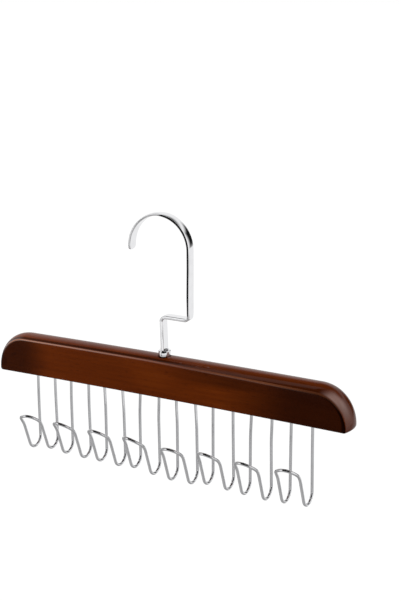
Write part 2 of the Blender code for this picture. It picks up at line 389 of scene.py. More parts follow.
def lacqueredWoodFinish():
    # Painted shade darkens the face, more towards the right and at its right rim, and lies along the crown's foot and
    # round the swivel; the face's left end is darker, with smudges. The upper arris has a painted highlight, the right
    # end a painted sheen, and the lower edges thin lacquer, painted dark as shade.
    look, mask = woodLook, woodMask
    material, shader, here = newFinish("lacquered wood")
    fibres, pores, grained = grainedWood(here)
    share, height, fromFace, inEnd, endward = barPlaces(here)
    rightHalf = share.fade(*mask["rightHalfShare"])
    atFace = 1 - fromFace.fade(*mask["face"])
    arris = fromFace.between(*mask["arris"])

    # Painted shade, and the left end's darkening and smudges: the strongest of these masks counts.
    # Painted shade: the face darkens towards the right, and nearly to black at the rim of its right end.
    rightward = share.fade(*mask["rightShare"]) * atFace * look["rightShade"]
    rim = inEnd.fade(*mask["rimInEnd"]) * endward.fade(*mask["rimEndward"]) * atFace * rightHalf
    # The face is darker at its left end, and has dark smudges there.
    leftEnd = (1 - share.fade(*mask["leftShare"])) * atFace * look["leftShade"]
    smudge = here.noise(look["smudgeScale"], 3.0, 0.55, 0.4).fade(*mask["smudgeRange"])
    smudge = smudge * (1 - share.fade(*mask["smudgeShare"])) * atFace * look["smudgeShade"]
    # Painted shadow: a dark ring on the wood round the swivel's collar.
    fromSwivel = ((here.part("X") - place["swivelX"] * mm).power(2.0) + here.part("Y").power(2.0)).power(0.5)
    seatRing = (1 - fromSwivel.fade(*mask["seatRadius"])) * height.fade(*mask["seatHeight"])
    # Painted shade: a dark band along the foot of the crown above the arris, running further up the crown at the
    # right.
    band = fromFace.between(*mask["bandDepth"]) * height.fade(*mask["bandHeight"])
    band = band * (1 - share.fade(*mask["bandShare"])) * look["bandShade"]
    rightBand = (1 - fromFace.fade(*mask["rightBandDepth"])) * height.fade(*mask["rightBandHeight"])
    rightBand = rightBand * share.fade(*mask["rightBandShare"]) * look["rightBandShade"]
    # A little painted shade also lies over the whole face.
    shade = rightward.larger(atFace * look["faceShade"]).larger(rim).larger(leftEnd).larger(smudge)
    shade = shade.larger(seatRing * look["seatShade"]).larger(band).larger(rightBand)

    # Thin lacquer on the lower edges and round the left end, where the edges are also painted dark as shade.
    lowArris = arris * (1 - height.fade(*mask["lowArrisHeight"]))
    leftArris = arris * (1 - share.fade(*mask["leftArrisShare"]))
    thinCoatShadedEdge = lowArris.larger(leftArris * (1 - height.fade(*mask["leftArrisHeight"])))

    # A painted highlight in lighter brown along the upper arris, and a painted sheen on the right end.
    # Painted highlight: strongest at the left, with a fainter line at the right.
    paintedGlint = fromFace.between(*mask["paintedGlintDepth"]) * height.fade(*mask["paintedGlintHeight"])
    paintedGlint = paintedGlint * (1 - share.fade(*mask["paintedGlintShare"])) * (fibres * look["paintedGlintGrain"] + look["paintedGlintLevel"])
    paintedGlintRight = fromFace.between(*mask["rightPaintedGlintDepth"]) * height.fade(*mask["rightPaintedGlintHeight"])
    paintedGlintRight = paintedGlintRight * share.fade(*mask["rightPaintedGlintShare"])
    paintedGlintRight = paintedGlintRight * (1 - share.fade(*mask["endPaintedGlintShare"]) * look["endPaintedGlintLoss"])
    paintedGlint = paintedGlint.larger(paintedGlintRight * look["rightPaintedGlint"])
    # Painted sheen: a pale glow over the right end, and a faint one on the arris at the right.
    paintedSheenMask = fromFace.fade(*mask["paintedSheenDepth"]) * (1 - fromFace.fade(*mask["paintedSheenDepthEnd"]))
    paintedSheenMask = paintedSheenMask * height.fade(*mask["paintedSheenHeight"]) * (1 - height.fade(*mask["paintedSheenHeightEnd"]))
    paintedSheenMask = paintedSheenMask * inEnd.fade(*mask["paintedSheenInEnd"]) * rightHalf * here.part("Y").fade(*mask["paintedSheenFront"])
    coloured = paintedGlint.blend(shade.larger(thinCoatShadedEdge).blend(grained, look["shade"]), look["paintedGlint"])
    paintedSheenAmount = (paintedSheenMask * look["endPaintedSheen"]).larger(paintedGlintRight * look["rightArrisPaintedSheen"])

    # The lacquer's gloss: strong along the arris at the left, faint elsewhere, a little more on the crown's right.
    arrisCoat = arris * (1 - share.fade(*mask["arrisCoatShare"]) * look["arrisCoatLoss"]) * (1 - paintedSheenMask)
    crownCoat = (1 - atFace) * share.fade(*mask["crownCoatShare"]) * look["crownCoat"]
    coat = (crownCoat + 1) * look["coatWeight"]
    feed(
        shader,
        Base_Color=paintedSheenAmount.blend(coloured, look["paintedSheen"]),
        Roughness=(fibres * look["fibreRoughness"] + look["depthRoughness"]).larger(thinCoatShadedEdge),
        Specular_IOR_Level=look["depthGloss"],
        Specular_Tint=look["depthTint"],
        Coat_Weight=(1 - thinCoatShadedEdge) * (1 - seatRing) * (1 - rim) * arrisCoat.larger(coat),
        Coat_Roughness=look["coatRoughness"],
        Coat_IOR=look["coatIor"],
        Normal=bumped(fibres * 0.3 - pores * 0.7, look["reliefStrength"], look["reliefDepth"]),
    )
    return material


chromeLook = {
    "hook": (0.90, 0.90, 0.915),
    # The wires' chrome is darker than the hook's: painted shade for the greyer light the thin wires reflect.
    "wire": (0.75, 0.75, 0.765),
    "roughness": 0.035,
    "dullShare": 0.94,
    "cloudScale": 95.0,
    "lineScale": 700.0,
    "lineStretch": (1.0, 1.0, 0.05),
    "lineStrength": 0.02,
    "lineDepth": 0.00005,
}


def chromeFinish(name, colour):
    # Bright plating: a soft cloudiness in its gloss, and fine polishing lines that run up and down.
    material, shader, here = newFinish(name)
    cloudy = here.noise(chromeLook["cloudScale"], 3.0, 0.55).fade(0.35, 0.75)
    lines = here.stretched(chromeLook["lineStretch"]).noise(chromeLook["lineScale"], 2.0, 0.6)
    dull = tuple(chromeLook["dullShare"] * level for level in colour)
    feed(
        shader,
        Base_Color=cloudy.blend(colour, dull),
        Metallic=1.0,
        Roughness=(cloudy * 0.5 + lines * 0.4 + 0.55) * chromeLook["roughness"],
        Normal=bumped(lines, chromeLook["lineStrength"], chromeLook["lineDepth"]),
    )
    return material


zincLook = {
    "bright": (0.62, 0.63, 0.64),
    "grey": (0.52, 0.53, 0.55),
    "roughness": 0.28,
    "grainScale": 1400.0,
    "patchScale": 260.0,
}


def zincFinish():
    # Plating with a fine grain and soft grey patches.
    material, shader, here = newFinish("zinc plate")
    grain = here.noise(zincLook["grainScale"], 3.0, 0.6)
    patch = here.noise(zincLook["patchScale"], 2.0, 0.5)
    feed(
        shader,
        Base_Color=patch.fade(0.3, 0.7).blend(zincLook["bright"], zincLook["grey"]),
        Metallic=1.0,
        Roughness=grain * 0.2 + zincLook["roughness"],
        Normal=bumped(grain, 0.08, 0.0001),
    )
    return material


brassLook = {
    "bright": (0.72, 0.53, 0.24),
    "tarnished": (0.50, 0.34, 0.14),
    "roughness": 0.20,
    "ringScale": 2600.0,
    "ringStretch": (0.05, 0.05, 1.0),
    "tarnishScale": 320.0,
}


def brassFinish():
    # Brass with the fine rings that a lathe leaves, and a patchy tarnish.
    material, shader, here = newFinish("turned brass")
    rings = here.stretched(brassLook["ringStretch"]).noise(brassLook["ringScale"], 2.0, 0.6)
    tarnish = here.noise(brassLook["tarnishScale"], 3.0, 0.6)
    feed(
        shader,
        Base_Color=tarnish.fade(0.35, 0.75).blend(brassLook["bright"], brassLook["tarnished"]),
        Metallic=1.0,
        Roughness=tarnish * 0.25 + brassLook["roughness"],
        Normal=bumped(rings, 0.15, 0.0001),
    )
    return material


# Wooden bar

bar = {
    "length": 371.4,
    "middleX": 3.4,
    "bow": 1.1,
    "rise": 0.65,
    "tilt": 0.0030,
    "endFlare": 0.06,
    "height": 37.8,
    "thickness": 22.0,
    "crownRise": 4.0,
    "crownEdgeRound": 0.85,
    "frontDrop": 3.8,
    "frontDropFrom": -15.0,
    "frontDropRun": 162.0,
    "endPlaned": 0.8,
    "endPlanedFrom": 135.0,
    "endRun": 33.5,
    "lowerCorner": 4.6,
    "frontCorner": 1.6,
    "undersideEdgeRound": 1.0,
    "endSteps": 40,
    "cornerSteps": 12,
    "edgeSteps": 9,
    "crownSteps": 15,
    "stations": (130.0, 105.0, 80.0, 55.0, 30.0, 12.0, 6.0),
    "faceShares": (0.6, 0.998),
}


def fallAway(distance, radius):
    # A rounded edge falls away by its radius less the height of the quarter circle at this distance.
    inside = np.maximum(radius - distance, 0.0)
    return radius - np.sqrt(radius**2 - inside**2)


def barRows(depths):
    # Each depth y gives one closed outline. The top and ends are set in by the crown, an arc across the thickness,
    # and by a rounded edge; the underside is flat with a rounded edge. Each end is most of a quarter ellipse, and a
    # quarter circle makes its lower corner. The whole bar is bowed and tilted a little, as wood is.
    half = bar["thickness"] / 2
    crownRadius = (half**2 + bar["crownRise"] ** 2) / (2 * bar["crownRise"])
    y = depths[:, None]
    fromFace = half - np.abs(y)
    crown = crownRadius - np.sqrt(crownRadius**2 - y**2)
    inset = crown + fallAway(fromFace, bar["crownEdgeRound"])
    lift = fallAway(fromFace, bar["undersideEdgeRound"])
    share = inset / (bar["crownRise"] + bar["crownEdgeRound"])
    corner = bar["lowerCorner"] + (bar["frontCorner"] - bar["lowerCorner"]) * share
    end = bar["length"] / 2 - inset
    shoulder = lift + corner
    turn = np.linspace(0, np.pi / 2, bar["cornerSteps"])
    lowerX = end - corner + corner * np.cos(turn)
    lowerZ = shoulder - corner * np.sin(turn)
    turn = np.linspace(0, np.pi / 2, bar["endSteps"])
    topRun = bar["length"] / 2 - bar["endRun"]
    upperX = topRun + (end - topRun) * np.cos(turn) ** (1 - bar["endFlare"])
    upperZ = shoulder + (bar["height"] - inset - shoulder) * np.sin(turn)
    # The top and underside get a few more stations, closer together beside the swivel.
    run = np.array(bar["stations"])
    topX = np.repeat(run[None], len(depths), axis=0)
    topZ = np.repeat(bar["height"] - inset, len(run), axis=1)
    lowX = topX[:, ::-1]
    lowZ = np.repeat(lift, len(run), axis=1)
    sideX = np.hstack([lowX, lowerX[:, ::-1], upperX[:, 1:], topX])
    sideZ = np.hstack([lowZ, lowerZ[:, ::-1], upperZ[:, 1:], topZ])
    x = np.hstack([sideX, -sideX[:, ::-1]])
    z = np.hstack([sideZ, sideZ[:, ::-1]])
    # At the front the crown's edge runs lower towards the right, where the end is planed a little straighter.
    up = z / bar["height"]
    frontShare = np.where(y < 0, share, 0.0)
    z = z - frontShare * up * bar["frontDrop"] * np.clip((x - bar["frontDropFrom"]) / bar["frontDropRun"], 0, 1)
    planed = smoothStep((x - bar["endPlanedFrom"]) / (bar["length"] / 2 - bar["endPlanedFrom"]))
    planed = planed * frontShare * bar["endPlaned"] * 4 * up * (1 - up)
    z = z + place["undersideZ"] + bar["rise"] - bar["bow"] * (2 * x / bar["length"]) ** 2 + bar["tilt"] * x
    x = x - planed + bar["middleX"]
    return np.stack([x, np.repeat(y, x.shape[1], axis=1), z], axis=-1)


def barDepths():
    # Depths from the front face to the back one, close together over each rounded edge.
    half = bar["thickness"] / 2
    turn = np.linspace(0, np.pi / 2, bar["edgeSteps"])
    edge = bar["undersideEdgeRound"] * (1 - np.cos(turn)) - half
    side = np.concatenate([edge[:-1], np.linspace(edge[-1], 0, bar["crownSteps"])])
    return np.concatenate([side, -side[-2::-1]])


def faceRows(row):
    # Two smaller copies of a face's outline, so that the face stays flat up to its rounded edge.
    middle = np.array([bar["middleX"], row[0, 1], place["undersideZ"] + bar["height"] / 2])
    return np.stack([middle + (row - middle) * share for share in bar["faceShares"]])


def barSkin():
    # All outlines from front to back. Each face closes on a pole in its middle.
    rows = barRows(barDepths())
    front = faceRows(rows[0])
    back = faceRows(rows[-1])[::-1]
    middleZ = place["undersideZ"] + bar["height"] / 2
    face = bar["thickness"] / 2
    return skinOf(
        np.concatenate([front, rows, back]),
        [[bar["middleX"], -face, middleZ]],
        [[bar["middleX"], face, middleZ]],
    )


# Belt wires

wires = {
    "count": 8,
    "pitch": 38.95,
    "seatSpacing": 20.2,
    "archWidth": 21.1,
    "archRise": 14.5,
    "diameter": 2.85,
    "drop": 73.6,
    "seatDepth": 14.0,
    "bendRadius": 8.7,
    "frontLean": 18.8,
    "frontStraight": 21.5,
    "lipRadius": 20.0,
    "lipLean": 50.0,
    "frontLength": 40.2,
    "lowerLeft": (0.8, -0.35, -0.2, -1.25, 2.6, -1.15, 0.6, -0.1),
    "lowerRight": (-1.85, 0.15, 0.2, 1.1, 1.9, -0.1, 1.2, -1.7),
    "reach": (-0.1, 0.0, 0.0, -0.4, 0.0, -0.7, 0.9, 1.5),
    "seatAside": (1.70, 2.00, 1.55, 2.40, 2.15, 1.55, 1.20, 1.05),
    "aside": (-0.25, -0.45, 0.60, -0.90, 0.75, -0.10, -0.80, -0.15),
    "leanRun": 25.0,
    "around": 20,
    "legSteps": 14,
    "bendSteps": 32,
    "frontSteps": 16,
    "archSteps": 26,
    "holeGap": 0.12,
    "holeExtra": 2.2,
    "holeSteps": 24,
}


def frontProfile(run):
    # Forward and upward travel past the U bend: straight at the front's lean, then an arc that curls outwards
    # until the lip's lean, then straight again. The third value is the lean at that run.
    lean = math.radians(wires["frontLean"])
    lip = math.radians(wires["lipLean"])
    radius = wires["lipRadius"]
    turnLength = radius * (lip - lean)
    straight = np.minimum(run, wires["frontStraight"])
    curled = np.clip(run - wires["frontStraight"], 0, turnLength)
    beyond = np.maximum(run - wires["frontStraight"] - turnLength, 0)
    angle = lean + curled / radius
    forward = straight * math.sin(lean) + radius * (math.cos(lean) - np.cos(angle)) + beyond * math.sin(lip)
    upward = straight * math.cos(lean) + radius * (np.sin(angle) - math.sin(lean)) + beyond * math.cos(lip)
    return forward, upward, angle


def wirePath(reach):
    # Points of one unit's wire, and at each the direction square to the bent sheet that the wire lies in: down the
    # left leg, round the U bend and up the front to the arch's top, and then the mirror image of all that.
    half = wires["archWidth"] / 2
    radius = wires["bendRadius"]
    lean = math.radians(wires["frontLean"])
    legTop = wires["seatDepth"]
    bendTop = radius - wires["drop"]
    inWood = np.linspace(legTop, 0, 4)[:-1]
    legZ = np.concatenate([inWood, np.linspace(0, bendTop, wires["legSteps"])[:-1]])
    spread = np.clip(legZ / bendTop, 0, 1)
    legX = -wires["seatSpacing"] / 2 + (wires["seatSpacing"] / 2 - half) * spread
    leg = np.stack([legX, np.zeros_like(legZ), legZ], axis=-1)
    legSquare = np.tile([0.0, 1.0, 0.0], (len(legZ), 1))
    turn = np.linspace(0, math.pi - lean, wires["bendSteps"])
    bendZ = bendTop - radius * np.sin(turn)
    bend = np.stack([np.full_like(turn, -half), -radius * (1 - np.cos(turn)), bendZ], axis=-1)
    bendSquare = np.stack([np.zeros_like(turn), np.cos(turn), np.sin(turn)], axis=-1)
    rise = wires["archRise"]
    straight = wires["frontLength"] + reach - rise
    side = np.linspace(0, straight, wires["frontSteps"])[1:]
    turn = np.linspace(0, math.pi / 2, wires["archSteps"])[1:]
    run = np.concatenate([side, straight + rise * np.sin(turn)])
    across = np.concatenate([np.full_like(side, -half), -half * np.cos(turn)])
    forward, upward, angle = frontProfile(run)
    front = np.stack([across, bend[-1, 1] - forward, bend[-1, 2] + upward], axis=-1)
    frontSquare = np.stack([np.zeros_like(run), -np.cos(angle), -np.sin(angle)], axis=-1)
    points = np.vstack([leg, bend, front])
    square = np.vstack([legSquare, bendSquare, frontSquare])
    mirror = np.array([-1.0, 1.0, 1.0])
    points = np.vstack([points, (points[:-1] * mirror)[::-1]])
    return points, np.vstack([square, square[:-1][::-1]])


def unitMiddle(unit):
    # Where a unit's middle meets the underside, by the even pitch and its own shift.
    return place["swivelX"] + (unit - (wires["count"] - 1) / 2) * wires["pitch"] + wires["seatAside"][unit]


def wireSkin(unit):
    # A circle carried along the path. The unit leans aside once it has left the wood, and each of its sides hangs
    # lower by its own amount.
    points, square = wirePath(wires["reach"][unit])
    leaning = smoothStep(-points[:, 2] / wires["leanRun"]) * wires["aside"][unit]
    rightward = smoothStep(points[:, 0] / wires["archWidth"] + 0.5)
    lower = wires["lowerLeft"][unit] * (1 - rightward) + wires["lowerRight"][unit] * rightward
    points = points + np.stack([leaning, 0 * leaning, -lower], axis=-1)
    points = points + [unitMiddle(unit), 0, place["undersideZ"]]
    heading = np.gradient(points, axis=0)
    heading /= np.linalg.norm(heading, axis=1)[:, None]
    square = square - heading * np.sum(square * heading, axis=1)[:, None]
    square /= np.linalg.norm(square, axis=1)[:, None]
    across = np.cross(heading, square)
    turn = np.linspace(0, 2 * np.pi, wires["around"], endpoint=False)
    radius = wires["diameter"] / 2
    circle = np.cos(turn)[None, :, None] * square[:, None] + np.sin(turn)[None, :, None] * across[:, None]
    return skinOf(points[:, None] + radius * circle, points[:1], points[-1:])


def wireHoles():
    # One round hole for each leg, cut a little wider than the wire so that its rim shows.
    radius = wires["diameter"] / 2 + wires["holeGap"]
    bottom = place["undersideZ"]
    profile = [(radius, bottom - 1.0), (radius, bottom + wires["seatDepth"] + wires["holeExtra"])]
    skins = []
    for unit in range(wires["count"]):
        for side in (-1, 1):
            middle = unitMiddle(unit) + side * wires["seatSpacing"] / 2
            skins.append(turnedSkin(profile, wires["holeSteps"], middle))
    return joined(*skins)


# Flat hook

hook = {
    "width": 9.1,
    "stemWidth": 9.8,
    "tipWidth": 10.8,
    "thickness": 2.2,
    "stemExtra": 1.1,
    "stemExtraRun": 26.0,
    "stemEnd": 5.5,
    "stemFade": 6.0,
    "crown": 0.42,
    "widenFrom": 0.6,
    "crispEdge": 0.08,
    "crispFade": (3.0, 6.0),
    "softEdge": 0.85,
    "stemEdge": 1.35,
    "tipSquareness": 2.6,
    "tipHalfWidth": 0.35,
    "tipHalfThickness": 0.25,
    "tipSwell": 0.8,
    "tipSwellRate": 2.5,
    "crownRate": 1.5,
    "roundest": 0.96,
    "flatInset": 0.15,
    "cornerSteps": 8,
    "crownColumns": 11,
    "crownReach": 0.92,
    "pathSteps": {"stem": 26, "bend": 14, "step": 10, "leg": 24, "arc": 90, "end": 10, "tip": 16},
    "arcRadius": 30.95,
    "arcX": 0.40,
    "arcAside": 0.70,
    "legAsideZ": (-88.0, -28.0),
    "tipAsideZ": (-38.0, -22.0),
    "shoulderDrop": 0.5,
    "tipRun": 5.2,
    "arcCentreZ": -28.7,
    "stepAboveCrest": 38.0,
    "stepBend": 2.6,
    "footZ": -122.9,
    "pinRadius": 1.5,
    "pinRootRadius": 0.8,
    "pinRootLength": 1.4,
    "headRadius": 2.6,
    "headHeight": 1.5,
    "headZ": -145.29,
    "pinSteps": 48,
}


def hookPath():
    # Middle line of the strip as (x, z): up the stem, over the step, up the leg, half a circle and down to the tip.
    swivelX, centreX, centreZ = place["swivelX"], hook["arcX"], hook["arcCentreZ"]
    face = hook["thickness"] / 2
    leg = hook["arcRadius"] - face
    legX = leg + centreX
    stepZ = place["crestZ"] + hook["stepAboveCrest"] - face
    bend = hook["stepBend"] + face
    steps = hook["pathSteps"]
    turn = np.linspace(0, np.pi / 2, steps["bend"])
    stem = np.linspace(hook["footZ"], stepZ - bend, steps["stem"])[:-1]
    up = np.linspace(stepZ + bend, centreZ, steps["leg"])[1:-1]
    around = np.linspace(0, np.pi, steps["arc"])
    down = np.linspace(centreZ, centreZ - hook["tipRun"], steps["end"])[1:]
    across = np.linspace(swivelX + bend, legX - bend, steps["step"])[1:-1]
    pieces = [
        (np.full_like(stem, swivelX), stem),
        (swivelX + bend - bend * np.cos(turn), stepZ - bend + bend * np.sin(turn)),
        (across, np.full_like(across, stepZ)),
        (legX - bend + bend * np.sin(turn), stepZ + bend - bend * np.cos(turn)),
        (np.full_like(up, legX), up),
        (centreX + leg * np.cos(around), centreZ + leg * np.sin(around)),
        (np.full_like(down, centreX - leg), down),
    ]
    x, z = np.hstack(pieces)
    # The arc leans a little to the right of the leg's foot, and its left shoulder is a little flat.
    (legFrom, legTo), (tipFrom, tipTo) = hook["legAsideZ"], hook["tipAsideZ"]
    legShare = smoothStep((z - legFrom) / (legTo - legFrom))
    tipShare = smoothStep((z - tipFrom) / (tipTo - tipFrom))
    x = x + hook["arcAside"] * np.where(x > 0, legShare, tipShare)
    turn = np.clip(np.arctan2(z - centreZ, x - centreX), np.pi / 2, np.pi)
    z = z - hook["shoulderDrop"] * np.sin(2 * turn) ** 2 * (z > centreZ)
    return np.stack([x, z], axis=-1)


def stripSkin():
    # A flat section with rounded edges is carried along the path. It closes at the tip as a flattened disc does.
    # The stem and the step are thicker, on their outer side, and at its foot the stem stands over the pin.
    # The edges are crisp on the leg and the near half of the arc, and rubbed round elsewhere.
    path = hookPath()
    step = np.linalg.norm(np.diff(path, axis=0), axis=1)
    travelled = np.concatenate([[0], np.cumsum(step)])
    total = travelled[-1]
    tipLength = hook["tipWidth"] / 2
    closest = 0.3
    tip = total - tipLength * np.cos(np.linspace(0, np.pi / 2, hook["pathSteps"]["tip"]))
    along = np.concatenate([travelled[travelled < tip[0] - closest], tip])
    middle = np.stack([np.interp(along, travelled, path[:, i]) for i in (0, 1)], axis=-1)
    heading = np.gradient(middle, along, axis=0)
    heading /= np.linalg.norm(heading, axis=1)[:, None]
    widening = smoothStep((along / total - hook["widenFrom"]) / (1 - hook["widenFrom"]))
    width = hook["width"] + (hook["tipWidth"] - hook["width"]) * widening
    toTip = np.clip((total - along) / tipLength, 0, 1)
    power = hook["tipSquareness"]
    width = width * (1 - (1 - toTip) ** power) ** (1 / power)
    aboveStep = place["crestZ"] + hook["stepAboveCrest"] + hook["stepBend"]
    legStart = travelled[np.argmax(path[:, 1] > aboveStep)]
    arcTop = travelled[np.argmax(path[:, 1])]
    onStem = 1 - smoothStep((along - legStart + hook["stemEnd"]) / hook["stemFade"])
    width = width + (hook["stemWidth"] - hook["width"]) * onStem
    half = np.maximum(width / 2, hook["tipHalfWidth"])
    swell = hook["tipSwell"] * smoothStep(toTip * hook["tipSwellRate"])
    face = np.minimum(hook["thickness"] / 2, hook["tipHalfThickness"] + swell)
    face = face + hook["stemExtra"] / 2 * onStem
    offset = hook["stemExtra"] / 2 * onStem * smoothStep(along / hook["stemExtraRun"])
    crispStart, crispEnd = hook["crispFade"]
    crisp = smoothStep((along - legStart) / crispStart) * smoothStep((arcTop + 1.0 - along) / crispEnd)
    rubbed = hook["softEdge"] + (hook["stemEdge"] - hook["softEdge"]) * onStem
    edge = rubbed + (hook["crispEdge"] - rubbed) * crisp
    edge = np.minimum(edge, np.minimum(half, face) * hook["roundest"])
    corner = np.linspace(0, np.pi / 2, hook["cornerSteps"])
    across = []
    out = []
    for turn, (sideways, outwards) in enumerate(((1, 1), (-1, 1), (-1, -1), (1, -1))):
        angle = corner if turn % 2 == 0 else corner[::-1]
        x = (half - edge)[:, None] + edge[:, None] * np.cos(angle)
        y = (face - edge)[:, None] + edge[:, None] * np.sin(angle)
        # One more point on the flat at each side of the corner keeps the flat's shading flat.
        inX = x.min(axis=1, keepdims=True) - np.minimum(hook["flatInset"], (half - edge) * 0.5)[:, None]
        inY = y.min(axis=1, keepdims=True) - 0.3 * (face - edge)[:, None]
        wide = [x.max(axis=1, keepdims=True), inY]
        flat = [inX, y.max(axis=1, keepdims=True)]
        first, last = (wide, flat) if turn % 2 == 0 else (flat, wide)
        across.append(np.hstack([first[0], x, last[0]]) * sideways)
        out.append(np.hstack([first[1], y, last[1]]) * outwards)
        if turn == 2:
            # The outer face of the leg and the arc is slightly crowned.
            share = hook["crownReach"] * np.linspace(-1, 1, hook["crownColumns"])[None]
            crown = hook["crown"] * (1 - onStem) * smoothStep(toTip * hook["crownRate"])
            across.append((half - edge)[:, None] * share)
            out.append(-face[:, None] - crown[:, None] * (1 - share**2))
    across = np.hstack(across)
    out = np.hstack(out) + offset[:, None]
    x = middle[:, :1] - out * heading[:, 1:]
    z = middle[:, 1:] + out * heading[:, :1]
    rows = np.stack([x, across, z], axis=-1)
    ends = np.stack([middle[[0, -1], 0], [0, 0], middle[[0, -1], 1]], axis=-1)
    return skinOf(rows, ends[:1], ends[1:])


def pinSkin():
    # The pin that turns in the collar, with a waist under the strip and a domed head at its foot.
    rootZ = hook["footZ"] + hook["pinRootLength"]
    headZ, headHeight = hook["headZ"], hook["headHeight"]
    radius = hook["headRadius"]
    turn = np.linspace(0, np.pi / 2, 8)[1:-1]
    domeZ = headZ - headHeight / 2
    profile = [
        (hook["pinRootRadius"], rootZ),
        (hook["pinRadius"], hook["footZ"]),
        (hook["pinRadius"], headZ),
        (radius, headZ),
        *[(radius * math.cos(a), domeZ - headHeight / 2 * math.sin(a)) for a in turn],
    ]
    return turnedSkin(profile, hook["pinSteps"], place["swivelX"], headZ - headHeight)


# Swivel collar

collar = {
    "radius": 5.6,
    "seatZ": -129.89,
    "topZ": -123.2,
    "topRound": 1.1,
    "footRound": 1.6,
    "boreRadius": 1.8,
    "boreBevel": 0.4,
    "shankRadius": 2.8,
    "shankZ": -143.89,
    "steps": 96,
    "roundSteps": 10,
    "seatGap": 0.45,
    "seatCut": -130.4,
    "pocketRadius": 4.3,
    "pocketZ": -147.99,
    "pocketSteps": 64,
    "cutAbove": 3.0,
}


def collarSkin():
    # A ring: up the bore, over the rounded top, down and under the rounded foot, and down the shank.
    top, bore = collar["topZ"], collar["boreRadius"]
    radius = collar["radius"]
    bevel = collar["boreBevel"]
    rounding = collar["topRound"]
    foot = collar["footRound"]
    profile = [(bore, collar["shankZ"]), (bore, top - bevel), (bore + bevel, top)]
    profile += roundedCorner((radius - rounding, top - rounding), rounding, 90, 0, collar["roundSteps"])
    profile += roundedCorner((radius - foot, collar["seatZ"] + foot), foot, 0, -90, collar["roundSteps"])
    profile += [(collar["shankRadius"], collar["seatZ"]), (collar["shankRadius"], collar["shankZ"])]
    return ringOf(turnedRows(profile, collar["steps"], place["swivelX"]))


def swivelHole():
    # The collar's flat seat, and under it the narrower pocket for the insert, the washer and the pin's head.
    seatRadius = collar["radius"] + collar["seatGap"]
    top = place["crestZ"] + collar["cutAbove"]
    profile = [
        (seatRadius, top),
        (seatRadius, collar["seatCut"]),
        (collar["pocketRadius"], collar["seatCut"]),
        (collar["pocketRadius"], collar["pocketZ"]),
    ]
    return turnedSkin(profile, collar["pocketSteps"], place["swivelX"])


def finishPiece(piece, material, node, body):
    # Dresses a piece, gives it to a body, and has it take its node's place.
    piece.data.materials.clear()
    piece.data.materials.append(material)
    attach(piece, body)
    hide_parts(node)


lacqueredWood = lacqueredWoodFinish()
hookChrome = chromeFinish("hook chrome", chromeLook["hook"])
# The same chrome, painted darker as shade for the wires.
wireChrome = chromeFinish("wire chrome", chromeLook["wire"])
print("finishes made")

barPiece = makePiece("lacqueredBar", barSkin())
drill(barPiece, wireHoles())
drill(barPiece, swivelHole())
barPiece.data.set_sharp_from_angle(angle=sharpAngle)
finishPiece(barPiece, lacqueredWood, "wood_bar", "bar")
print("bar made:", len(barPiece.data.polygons), "faces")

for unit in range(wires["count"]):
    wire = makePiece(f"beltWire{unit + 1}", wireSkin(unit))
    finishPiece(wire, wireChrome, f"belt_wire_{unit + 1}", "bar")
print("wires made:", wires["count"])

hookPiece = makePiece("flatHookAndPin", joined(stripSkin(), pinSkin()))
finishPiece(hookPiece, hookChrome, "flat_hook", "hook")
collarPiece = makePiece("swivelCollar", collarSkin())
finishPiece(collarPiece, hookChrome, "swivel_collar", "bar")
print("hook and collar made")

# The washer and the insert stay as the model has them, with their own finishes.
for nodeName, material in (("pin_washer", zincFinish()), ("barbed_insert", brassFinish())):
    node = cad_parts[nodeName]
    node.data.materials.clear()
    node.data.materials.append(material)

# Studio

studio = {
    "floorZ": -1.10,
    "floorSize": 60.0,
    "floorAhead": 2.0,
    "floorRoughness": 0.9,
    "floorColour": (0.93, 0.93, 0.93),
    "floorGlow": 1.08,
    "floorGlowShare": 0.85,
    "keyDirection": (-0.48, -0.70, 0.62),
    "keyTarget": (-0.12, 0.0, -0.15),
    "keyDistance": 0.8,
    "keyPower": 5.2,
    "keySize": 0.6,
}


def raysOf(tree):
    # 1 for the camera's own rays, and 1 for those that gloss sends on.
    rays = tree.nodes.new("ShaderNodeLightPath").outputs
    sent = Value(tree, rays["Is Glossy Ray"]).larger(Value(tree, rays["Is Transmission Ray"]))
    return Value(tree, rays["Is Camera Ray"]), sent


def addFloor():
    # A pale floor that takes the object's shadow. The camera and metal see it close to white.
    half = studio["floorSize"] / 2
    corners = [(-half, -half), (half, -half), (half, half), (-half, half)]
    mesh = bpy.data.meshes.new("studioFloor")
    mesh.from_pydata([(x, y + studio["floorAhead"], studio["floorZ"]) for x, y in corners], [], [(0, 1, 2, 3)])
    floor = addObject("studioFloor", mesh)
    floor.visible_glossy = False
    material, shader, here = newFinish("pale floor")
    feed(shader, Base_Color=studio["floorColour"], Roughness=studio["floorRoughness"])
    tree = material.node_tree
    glow = here.make("Emission", {}, {"Color": (1.0, 1.0, 1.0), "Strength": studio["floorGlow"]})
    seen, gloss = raysOf(tree)
    share = seen.larger(gloss) * studio["floorGlowShare"]
    mixed = here.make("MixShader", {}, {0: share, 1: Value(tree, shader.outputs[0]), 2: glow})
    tree.links.new(mixed.socket, tree.nodes["Material Output"].inputs["Surface"])
    mesh.materials.append(material)


def addKeyLamp():
    # One soft lamp at the upper left of the front. Gloss doesn't show it.
    data = bpy.data.lights.new("keyLamp", "AREA")
    data.shape = "SQUARE"
    data.size = studio["keySize"]
    data.energy = studio["keyPower"]
    lamp = addObject("keyLamp", data)
    away = Vector(studio["keyDirection"]).normalized()
    lamp.location = Vector(studio["keyTarget"]) + away * studio["keyDistance"]
    lamp.rotation_euler = away.to_track_quat("Z", "Y").to_euler()
    lamp.visible_glossy = False


